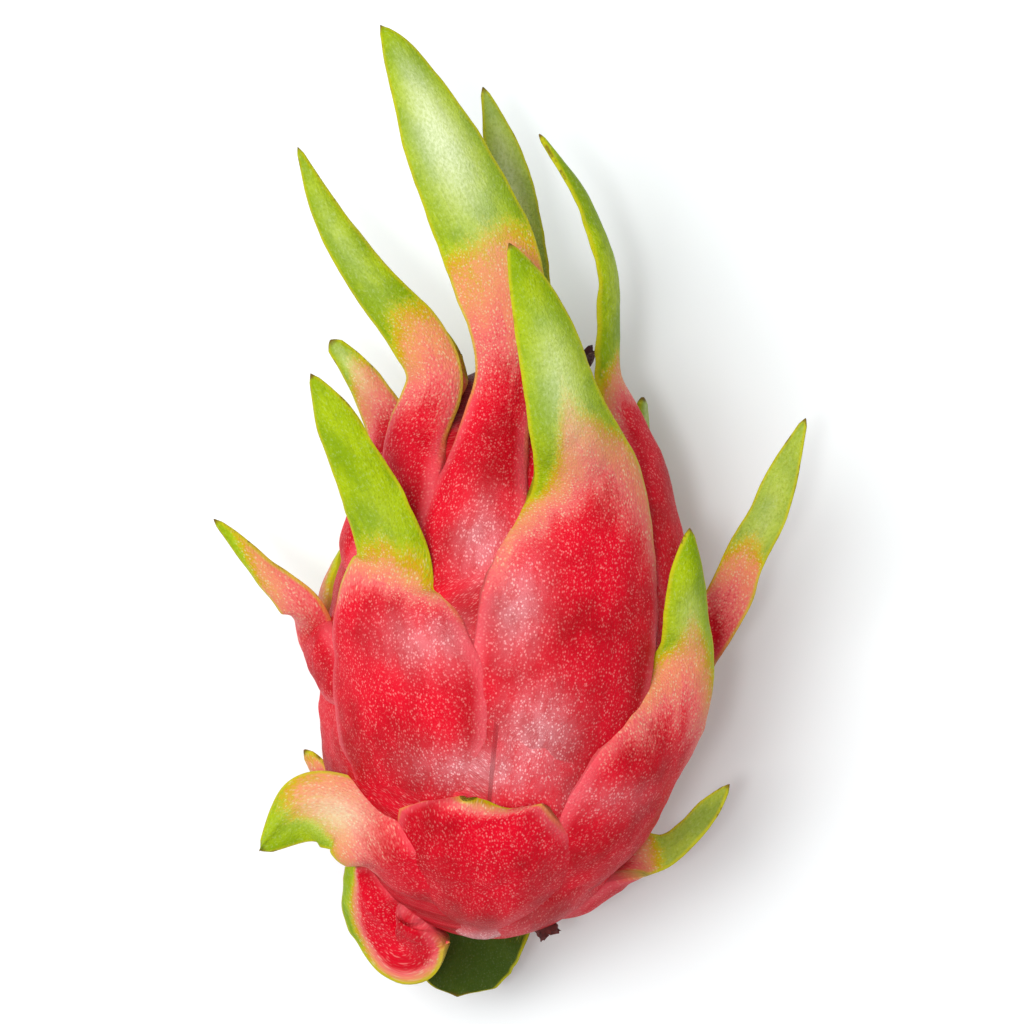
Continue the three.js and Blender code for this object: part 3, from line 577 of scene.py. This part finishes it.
def withered_flower():
    """The dried cup the flower left, ribbed and torn at its rim, with withered threads inside."""
    rng = np.random.default_rng(SEED + 5)
    from_y, to_y = SCAR_LOW[1], SCAR_HIGH[1]
    rim_r = (SCAR_HIGH[0] - SCAR_LOW[0]) / 2 - 0.9
    ring = 216
    a = np.linspace(0, 2 * math.pi, ring, endpoint=False)
    ribs = 0.45 * np.abs(np.sin(9 * a + 0.6 * np.sin(2 * a))) + 0.25 * np.sin(23 * a + 1) * np.sin(5 * a)
    torn = 1.1 * np.sin(4 * a + 1) + 0.9 * np.sin(11 * a) * np.sin(3 * a + 2) + 0.5 * rng.normal(size=ring)
    out = [(0.0, 0.30), (0.1, 0.55), (0.25, 0.72), (0.45, 0.80), (0.7, 0.92), (0.92, 0.99), (1.0, 1.0)]
    back = [(0.985, 0.93), (0.8, 0.82), (0.55, 0.70), (0.4, 0.50), (0.32, 0.2)]
    rows, depth = [], []
    outline = [drawn(out, x) for x in np.linspace(0, 6, 40)]
    outline += [drawn(back, x) for x in np.linspace(0, 4, 30)]
    for share, r in outline:
        strong = float(smooth(0.2, 0.9, share))
        q = rim_r * r + ribs * strong * 1.2
        y = from_y + (to_y - from_y - 1.5) * share + torn * 0.8 * strong**3
        rows.append(np.stack([q * np.sin(a), y + 0 * a, AXIS_HEIGHT + q * np.cos(a)], -1))
        depth.append(np.full(ring, share))
    grid = np.array(rows)
    grid = grid + (lumps(grid, 6, SEED + 6) * 0.35)[..., None] * unit(grid - [0, 0, AXIS_HEIGHT])
    round_rim = np.broadcast_to(a * rim_r, grid.shape[:2])
    facts = {
        "skin": np.stack([round_rim, grid[..., 1], 0 * grid[..., 1]], -1),
        "dry": np.array(depth),
    }
    cup = piece_from_grid("flower_cup", grid, facts, np.arange(ring) / ring, np.linspace(0, 1, len(rows)))
    parts = [cup]
    for k in range(90):
        turn, reach = rng.uniform(0, 2 * math.pi), rim_r * math.sqrt(rng.uniform(0, 1)) * 0.72
        across, up = reach * math.sin(turn), reach * math.cos(turn)
        start = np.array([across * 0.6, from_y + 4.5, AXIS_HEIGHT + up * 0.6])
        lean = rng.normal(size=3) * [2.2, 0, 2.2]
        end = np.array([across, to_y - rng.uniform(0.2, 5.5), AXIS_HEIGHT + up]) + lean
        off = end - [0, 0, AXIS_HEIGHT]
        far = math.hypot(off[0], off[2])
        if far > rim_r * 0.86:
            end[0] *= rim_r * 0.86 / far
            end[2] = AXIS_HEIGHT + off[2] * rim_r * 0.86 / far
        bend = (start + end) / 2 + rng.normal(size=3) * 1.2
        path = through_points([start, bend, end], np.linspace(0, 2, 14))
        radius = np.linspace(0.42, 0.16, 14) * rng.uniform(0.7, 1.3)
        strand = tube(path, radius)
        shade = np.full(strand.shape[:2], 1.5 if k % 4 else 2.4)
        facts = {"skin": strand * 1.0, "dry": shade}
        parts.append(piece_from_grid(f"thread_{k}", strand, facts, np.arange(6) / 6, np.linspace(0, 1, 14)))
    obj = joined("withered_flower", parts)
    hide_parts("flower_scar")
    return obj


def torn_stem():
    """The stub where the fruit was picked, torn and dry."""
    ring, stations = 72, 46
    centre = (STUB_LOW + STUB_HIGH) / 2
    run = unit(np.array([5.2, -6.9, 0.0]))
    side, up = np.array([-run[1], run[0], 0.0]), np.array([0.0, 0.0, 1.0])
    a = np.linspace(0, 2 * math.pi, ring, endpoint=False)
    x = np.linspace(0, 1, stations)
    reach = np.where(x < 0.8, -3.8 + x / 0.8 * 7.0, 3.2 - 0.6 * (x - 0.8) / 0.2)
    r = np.where(x < 0.8, 3.0 - 0.8 * x / 0.8, 2.2 * (1 - ((x - 0.8) / 0.2) ** 1.3) + 0.2)
    torn = 0.7 * np.sin(2 * a + 0.7) + 0.4 * np.sin(5 * a) + 0.3 * np.sin(13 * a + 1)
    torn = torn * smooth(0.5, 0.85, x)[:, None]
    q = r[:, None] * (1 + 0.06 * np.sin(3 * a + 1) + 0.04 * np.sin(11 * a))
    grid = centre + run * (reach[:, None] + torn)[..., None]
    grid = grid + side * (q * np.cos(a))[..., None] + up * (q * np.sin(a))[..., None]
    grid = grid + (lumps(grid, 2.5, SEED + 9) * 0.25)[..., None] * (side + up)
    facts = {
        "skin": np.stack([np.broadcast_to(a * 5, q.shape), reach[:, None] + 0 * q, 0 * q], -1),
        "dry": x[:, None] + 0 * q,
    }
    obj = piece_from_grid("torn_stem", grid, facts, np.arange(ring) / ring, x)
    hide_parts("stem_stub")
    return obj


# ---- colours --------------------------------------------------------------------------
def colour(r, g, b):
    """A colour given as 0..255 as a screen shows it."""
    out = []
    for c in (r, g, b):
        c = c / 255
        out.append(c / 12.92 if c <= 0.04045 else ((c + 0.055) / 1.055) ** 2.4)
    return (*out, 1.0)


DEEP_RED = colour(166, 0, 16)
RED = colour(214, 2, 34)
ROSE = colour(222, 64, 70)
SALMON = colour(222, 100, 98)
PEACH = colour(218, 138, 92)
GOLD = colour(192, 152, 8)
YELLOW = colour(188, 182, 20)
LIME = colour(158, 180, 4)
GREEN = colour(128, 156, 0)
OLIVE = colour(108, 130, 4)
SHADE = colour(34, 56, 2)
WAX = colour(216, 226, 180)
FLECK = colour(244, 128, 134)
# colour of the painted highlight
HIGHLIGHT_ROSE = colour(250, 186, 192)
PALE_MARGIN = colour(232, 96, 106)
BROWN = colour(98, 66, 24)
BARK = colour(112, 34, 26)
WINE = colour(64, 10, 20)
THREAD = colour(196, 164, 140)


class Nodes:
    """Adds nodes to a tree and joins them, with the fewest words."""

    def __init__(self, tree):
        self.tree = tree

    def add(self, kind, **settings):
        node = self.tree.nodes.new("ShaderNode" + kind)
        for key, value in settings.items():
            setattr(node, key, value)
        return node

    def set(self, socket, value):
        if isinstance(value, bpy.types.NodeSocket):
            self.tree.links.new(value, socket)
        elif value is not None:
            socket.default_value = value

    def fact(self, name, vector=False):
        node = self.add("Attribute", attribute_name=name)
        return node.outputs["Vector" if vector else "Fac"]

    def math(self, operation, a, b=None, c=None, clamp=False):
        node = self.add("Math", operation=operation, use_clamp=clamp)
        for socket, value in zip(node.inputs, (a, b, c)):
            self.set(socket, value)
        return node.outputs[0]

    def ease(self, value, low, high, to_low=0.0, to_high=1.0):
        node = self.add("MapRange", interpolation_type="SMOOTHSTEP")
        self.set(node.inputs["Value"], value)
        for name, number in (("From Min", low), ("From Max", high), ("To Min", to_low), ("To Max", to_high)):
            self.set(node.inputs[name], number)
        return node.outputs["Result"]

    def mix(self, share, a, b, blend="MIX"):
        node = self.add("Mix", data_type="RGBA", blend_type=blend)
        self.set(node.inputs["Factor"], share)
        self.set(node.inputs[6], a)
        self.set(node.inputs[7], b)
        return node.outputs[2]

    def stretch(self, vector, size):
        node = self.add("VectorMath", operation="MULTIPLY")
        self.set(node.inputs[0], vector)
        self.set(node.inputs[1], size)
        return node.outputs[0]

    def noise(self, vector, size, detail=3.0, rough=0.55):
        node = self.add("TexNoise")
        self.set(node.inputs["Vector"], vector)
        self.set(node.inputs["Scale"], size)
        self.set(node.inputs["Detail"], detail)
        self.set(node.inputs["Roughness"], rough)
        return node.outputs["Fac"]

    def cells(self, vector, size, feature="F1"):
        node = self.add("TexVoronoi", feature=feature)
        self.set(node.inputs["Vector"], vector)
        self.set(node.inputs["Scale"], size)
        return node.outputs["Distance"]

    def ramp(self, value, stops):
        node = self.add("ValToRGB")
        self.set(node.inputs["Fac"], value)
        band = node.color_ramp.elements
        while len(band) < len(stops):
            band.new(0.5)
        for element, (place, tint) in zip(band, stops):
            element.position = place
            element.color = tint
        return node.outputs["Color"]


def group(name, inputs, outputs):
    """A new shader node group with these sockets, and helpers for filling it."""
    tree = bpy.data.node_groups.new(name, "ShaderNodeTree")
    for socket, kind, value in inputs:
        made = tree.interface.new_socket(socket, in_out="INPUT", socket_type=kind)
        if value is not None:
            made.default_value = value
    for socket, kind in outputs:
        tree.interface.new_socket(socket, in_out="OUTPUT", socket_type=kind)
    n = Nodes(tree)
    return tree, n, tree.nodes.new("NodeGroupInput").outputs, tree.nodes.new("NodeGroupOutput").inputs


def fleck_group():
    """Small pale dots and specks, the tiny bumps of the skin, and broad patches of tone."""
    tree, n, given, result = group(
        "skin flecks", [("Skin", "NodeSocketVector", None)],
        [("Flecks", "NodeSocketFloat"), ("Pores", "NodeSocketFloat"), ("Patches", "NodeSocketFloat")])
    skin = given["Skin"]
    drawn = n.stretch(skin, (2.9, 1.8, 1.0))
    fine = n.noise(drawn, 1.0, 2.0, 0.6)
    coarse = n.noise(n.stretch(skin, (0.5, 0.3, 1.0)), 1.0, 2.0, 0.5)
    dots = n.ease(n.cells(n.stretch(skin, (1.75, 1.3, 1.0)), 1.0), 0.16, 0.40, 1.0, 0.0)
    dots = n.math("MULTIPLY", dots, n.ease(coarse, 0.35, 0.6, 0.45, 1.0))
    specks = n.math("MULTIPLY", n.ease(fine, 0.58, 0.68), 0.45)
    n.set(result["Flecks"], n.math("MAXIMUM", dots, specks))
    n.set(result["Pores"], n.math("ADD", n.math("MULTIPLY", fine, 0.75), n.math("MULTIPLY", coarse, 0.25)))
    n.set(result["Patches"], n.noise(n.stretch(skin, (0.07, 0.05, 1.0)), 1.0, 3.0, 0.55))
    return tree


def rind_group(flecks):
    """Red rind: deep and bright red in soft patches, with the flecks, a painted pale highlight, darkening
    towards wine and paler margins.
    """
    tree, n, given, result = group(
        "red rind",
        [("Skin", "NodeSocketVector", None), ("Rim", "NodeSocketFloat", 50.0),
         ("Painted highlight", "NodeSocketFloat", 0.0), ("Darkening", "NodeSocketFloat", 0.0)],
        [("Colour", "NodeSocketColor"), ("Pores", "NodeSocketFloat"), ("Flecks", "NodeSocketFloat")])
    fleck = n.add("Group")
    fleck.node_tree = flecks
    n.set(fleck.inputs["Skin"], given["Skin"])
    patches = fleck.outputs["Patches"]
    base = n.mix(n.ease(patches, 0.30, 0.66), DEEP_RED, RED)
    dusty = n.math("MULTIPLY", fleck.outputs["Flecks"], n.ease(patches, 0.3, 0.7, 0.20, 0.55))
    base = n.mix(dusty, base, FLECK)
    # painted highlight: the red is mixed towards pale rose where the highlight mask is high, broken up and
    # speckled by the flecks
    broken = n.ease(n.noise(n.stretch(given["Skin"], (0.45, 0.2, 1.0)), 1.0, 4.0, 0.65), 0.34, 0.60)
    highlight_share = n.math("MULTIPLY", given["Painted highlight"], n.math("MULTIPLY_ADD", broken, 0.55, 0.45))
    highlight_share = n.math("MULTIPLY", highlight_share, n.ease(fleck.outputs["Flecks"], 0.0, 0.7, 0.34, 1.0))
    base = n.mix(highlight_share, base, HIGHLIGHT_ROSE)
    # darker towards wine: painted shade on base_bract_under; on the core, darker towards the crown
    base = n.mix(n.math("MULTIPLY", given["Darkening"], 0.85), base, WINE)
    edge = n.math("MULTIPLY", n.ease(given["Rim"], 0.3, 3.0, 1.0, 0.0), 0.55)
    base = n.mix(edge, base, PALE_MARGIN)
    n.set(result["Colour"], base)
    n.set(result["Pores"], fleck.outputs["Pores"])
    n.set(result["Flecks"], fleck.outputs["Flecks"])
    return tree


def leaf_group():
    """Green leaf: lime to olive, streaked along its length, paler on its inner face and in fine specks,
    darker by Deep: painted shade over its own dark tone.
    """
    tree, n, given, result = group(
        "green leaf",
        [("Skin", "NodeSocketVector", None), ("Inner", "NodeSocketFloat", 0.0),
         ("Deep", "NodeSocketFloat", 0.0)],
        [("Colour", "NodeSocketColor"), ("Grain", "NodeSocketFloat")])
    skin = given["Skin"]
    streaks = n.noise(n.stretch(skin, (0.9, 0.07, 1.0)), 1.0, 3.0, 0.6)
    patches = n.noise(n.stretch(skin, (0.16, 0.09, 1.0)), 1.0, 3.0, 0.5)
    grain = n.noise(n.stretch(skin, (1.9, 1.1, 1.0)), 1.0, 2.0, 0.6)
    base = n.mix(n.ease(patches, 0.36, 0.64), GREEN, LIME)
    base = n.mix(n.math("MULTIPLY", n.ease(streaks, 0.5, 0.7), 0.28), base, OLIVE)
    base = n.mix(n.math("MULTIPLY", given["Inner"], 0.10), base, WAX)
    base = n.mix(n.math("MULTIPLY", n.ease(grain, 0.56, 0.68), 0.10), base, WAX)
    base = n.mix(n.math("MULTIPLY", n.ease(grain, 0.34, 0.48, 1.0, 0.0), 0.30), base, OLIVE)
    # darker towards dark green: painted shade on base_bract_under, over its own dark tone
    base = n.mix(given["Deep"], base, SHADE)
    n.set(result["Colour"], base)
    n.set(result["Grain"], grain)
    return tree


def ripening_group():
    """How far a point has turned from red to green, with a ragged front."""
    tree, n, given, result = group(
        "ripening", [("Skin", "NodeSocketVector", None), ("Ripeness", "NodeSocketFloat", 0.0)],
        [("Tint", "NodeSocketColor"), ("Green", "NodeSocketFloat"), ("Red", "NodeSocketFloat")])
    skin = given["Skin"]
    drift = n.noise(n.stretch(skin, (0.28, 0.10, 1.0)), 1.0, 3.0, 0.55)
    streaks = n.noise(n.stretch(skin, (1.3, 0.16, 1.0)), 1.0, 3.0, 0.6)
    speck = n.noise(n.stretch(skin, (2.6, 1.6, 1.0)), 1.0, 2.0, 0.6)
    shift = n.math("MULTIPLY_ADD", drift, 1.2, -0.6)
    shift = n.math("ADD", shift, n.math("MULTIPLY_ADD", streaks, 0.5, -0.25))
    shift = n.math("ADD", shift, n.math("MULTIPLY_ADD", speck, 1.3, -0.65))
    turned = n.math("ADD", given["Ripeness"], shift)
    place = n.math("MULTIPLY_ADD", turned, 0.25, 0.5, clamp=True)
    n.set(result["Tint"], n.ramp(place, [
        (0.05, ROSE), (0.24, SALMON), (0.44, PEACH), (0.56, GOLD), (0.70, YELLOW)]))
    n.set(result["Green"], n.ease(place, 0.56, 0.80))
    n.set(result["Red"], n.ease(place, 0.02, 0.28, 1.0, 0.0))
    return tree


def bract_material(rind, leaf, ripening):
    """The skin of a scale and its leaf, red at the foot and green to the tip."""
    material = bpy.data.materials.new("scale and leaf")
    material.use_nodes = True
    tree = material.node_tree
    n = Nodes(tree)
    principled = tree.nodes["Principled BSDF"]
    skin = n.fact("skin", vector=True)
    rim, inner, to_tip = n.fact("rim"), n.fact("inner"), n.fact("to_tip")
    red = n.add("Group", node_tree=rind)
    n.set(red.inputs["Skin"], skin)
    n.set(red.inputs["Rim"], rim)
    n.set(red.inputs["Painted highlight"], n.fact("painted_highlight"))
    n.set(red.inputs["Darkening"], n.fact("deep"))
    green = n.add("Group", node_tree=leaf)
    for socket, value in (("Skin", skin), ("Inner", inner), ("Deep", n.fact("deep"))):
        n.set(green.inputs[socket], value)
    ripe = n.add("Group", node_tree=ripening)
    n.set(ripe.inputs["Skin"], skin)
    n.set(ripe.inputs["Ripeness"], n.fact("ripeness"))
    tint = n.mix(ripe.outputs["Red"], ripe.outputs["Tint"], red.outputs["Colour"])
    tint = n.mix(ripe.outputs["Green"], tint, green.outputs["Colour"])
    # pale band along a leaf's middle: its waxen coat with a painted sheen where light catches it
    wax_and_sheen_mix = n.math("MULTIPLY", n.fact("wax_and_sheen"), n.ease(green.outputs["Grain"], 0.3, 0.7, 0.6, 1.0), clamp=True)
    tint = n.mix(wax_and_sheen_mix, tint, WAX)
    dots = n.math("MULTIPLY", red.outputs["Flecks"], n.math("MULTIPLY_ADD", ripe.outputs["Red"], -0.35, 0.42))
    dots = n.math("MULTIPLY", dots, n.math("MULTIPLY_ADD", ripe.outputs["Green"], -0.9, 1.0))
    tint = n.mix(dots, tint, WAX)
    # margins dry to yellow and brown, tips to brown
    spots = n.noise(n.stretch(skin, (0.5, 0.35, 1.0)), 1.0, 3.0, 0.6)
    free = n.fact("free")
    margin = n.math("MULTIPLY", n.ease(rim, 0.15, 0.9, 1.0, 0.0), free)
    margin = n.math("MULTIPLY", margin, n.math("MULTIPLY_ADD", ripe.outputs["Red"], -0.6, 1.0))
    tint = n.mix(n.math("MULTIPLY", margin, 0.75), tint, YELLOW)
    burnt = n.math("MULTIPLY", n.ease(rim, 0.05, 0.5, 1.0, 0.0), n.ease(spots, 0.52, 0.64))
    burnt = n.math("MULTIPLY", burnt, n.ease(to_tip, 5.0, 22.0, 0.8, 0.15))
    burnt = n.math("MULTIPLY", burnt, free)
    tip = n.ease(n.math("MULTIPLY_ADD", spots, 2.4, to_tip), 1.3, 2.8, 0.9, 0.0)
    dried = n.math("MULTIPLY", n.math("MAXIMUM", burnt, tip), n.fact("burn"))
    tint = n.mix(dried, tint, BROWN)
    n.set(principled.inputs["Base Color"], tint)
    principled.inputs["Specular IOR Level"].default_value = 0.05
    shine = n.math("MULTIPLY_ADD", ripe.outputs["Green"], -0.02, 0.07)
    # the coat is glossier where the highlight is painted; that gloss is real shine
    n.set(principled.inputs["Coat Weight"], n.math("MULTIPLY_ADD", n.fact("painted_highlight"), 0.8, shine, clamp=True))
    principled.inputs["Coat Roughness"].default_value = 0.20
    n.set(principled.inputs["Roughness"], n.ease(red.outputs["Pores"], 0.3, 0.7, 0.40, 0.55))
    bump = n.add("Bump")
    bump.inputs["Strength"].default_value = 0.8
    bump.inputs["Distance"].default_value = 0.0005
    n.set(bump.inputs["Height"], red.outputs["Pores"])
    n.set(principled.inputs["Normal"], bump.outputs["Normal"])
    n.set(principled.inputs["Coat Normal"], bump.outputs["Normal"])
    return material


def dry_material(name, dark, light):
    """Withered plant matter: fibrous, streaked dark and pale."""
    material = bpy.data.materials.new(name)
    material.use_nodes = True
    tree = material.node_tree
    n = Nodes(tree)
    principled = tree.nodes["Principled BSDF"]
    skin, dry = n.fact("skin", vector=True), n.fact("dry")
    fibres = n.noise(n.stretch(skin, (2.4, 0.35, 1.0)), 1.0, 4.0, 0.65)
    patches = n.noise(n.stretch(skin, (0.3, 0.2, 0.3)), 1.0, 3.0, 0.5)
    pale = n.math("MULTIPLY", n.ease(fibres, 0.5, 0.72), n.ease(dry, 0.2, 2.4, 0.35, 1.0))
    tint = n.mix(pale, n.mix(patches, dark, WINE), light)
    n.set(principled.inputs["Base Color"], tint)
    n.set(principled.inputs["Roughness"], n.ease(fibres, 0.2, 0.8, 0.7, 0.95))
    bump = n.add("Bump")
    bump.inputs["Strength"].default_value = 0.7
    bump.inputs["Distance"].default_value = 0.0006
    n.set(bump.inputs["Height"], fibres)
    n.set(principled.inputs["Normal"], bump.outputs["Normal"])
    return material


# ---- the table, the light and the view ------------------------------------------------
def white_table():
    """A wide white table top."""
    mesh = bpy.data.meshes.new("white_table")
    r = 4.0
    mesh.from_pydata([(-r, -r, 0), (r, -r, 0), (r, r, 0), (-r, r, 0)], [], [(0, 1, 2, 3)])
    obj = bpy.data.objects.new("white_table", mesh)
    bpy.context.scene.collection.objects.link(obj)
    material = bpy.data.materials.new("white table")
    material.use_nodes = True
    n = Nodes(material.node_tree)
    principled = material.node_tree.nodes["Principled BSDF"]
    geometry = n.add("NewGeometry")
    cloud = n.noise(geometry.outputs["Position"], 3.0, 2.0, 0.5)
    n.set(principled.inputs["Base Color"], n.mix(cloud, (0.89, 0.93, 0.94, 1), (0.91, 0.95, 0.96, 1)))
    principled.inputs["Roughness"].default_value = 0.9
    principled.inputs["Specular IOR Level"].default_value = 0.1
    mesh.materials.append(material)


def soft_light(name, where, size, watts, at=(0, 0.01, 0.04)):
    """A round soft light that shines at the middle of the fruit."""
    data = bpy.data.lights.new(name, "AREA")
    data.shape = "DISK"
    data.size = size
    data.energy = watts
    obj = bpy.data.objects.new(name, data)
    obj.location = where
    obj.rotation_mode = "QUATERNION"
    obj.rotation_quaternion = (Vector(at) - Vector(where)).to_track_quat("-Z", "Y")
    bpy.context.scene.collection.objects.link(obj)


def studio():
    """Even white surroundings, a large window high on the left and a small lamp overhead."""
    world = bpy.data.worlds.new("studio")
    bpy.context.scene.world = world
    world.use_nodes = True
    back = world.node_tree.nodes["Background"]
    back.inputs["Color"].default_value = (1, 1, 1, 1)
    back.inputs["Strength"].default_value = 0.53
    soft_light("window", (-0.42, 0.15, 1.02), 0.70, 9.2)
    soft_light("lamp over", (-0.12, -0.03, 1.15), 0.11, 2.0)
    bpy.context.scene.view_settings.view_transform = "Standard"


def overhead_camera():
    """Looks straight down, turned a little so that the fruit leans to the right."""
    data = bpy.data.cameras.new("overhead")
    data.sensor_width = 36
    data.lens = 140.6
    obj = bpy.data.objects.new("overhead", data)
    low, high = cad_box
    obj.location = ((low[0] + high[0]) / 2 + 0.0011, (low[1] + high[1]) / 2 + 0.0047, 0.900)
    obj.rotation_euler = (0, 0, math.radians(5.5))
    bpy.context.scene.collection.objects.link(obj)
    bpy.context.scene.camera = obj


# ---- putting it together --------------------------------------------------------------
def build():
    """Every piece of the fruit, with its material and its body."""
    flecks = fleck_group()
    skin = bract_material(rind_group(flecks), leaf_group(), ripening_group())
    pieces = [(fleshy_core(), skin, "rind")]
    for k, (name, b) in enumerate(BRACTS.items()):
        pieces.append((bract(name, b, SEED + 10 + 7 * k), skin, "bract"))
    pieces.append((withered_flower(), dry_material("withered flower", WINE, THREAD), "withered_flower"))
    pieces.append((torn_stem(), dry_material("torn stem", BARK, BROWN), "stem"))
    for obj, material, slot in pieces:
        obj.data.materials.clear()
        obj.data.materials.append(material)
        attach(obj, "root")


build()
white_table()
studio()
overhead_camera()
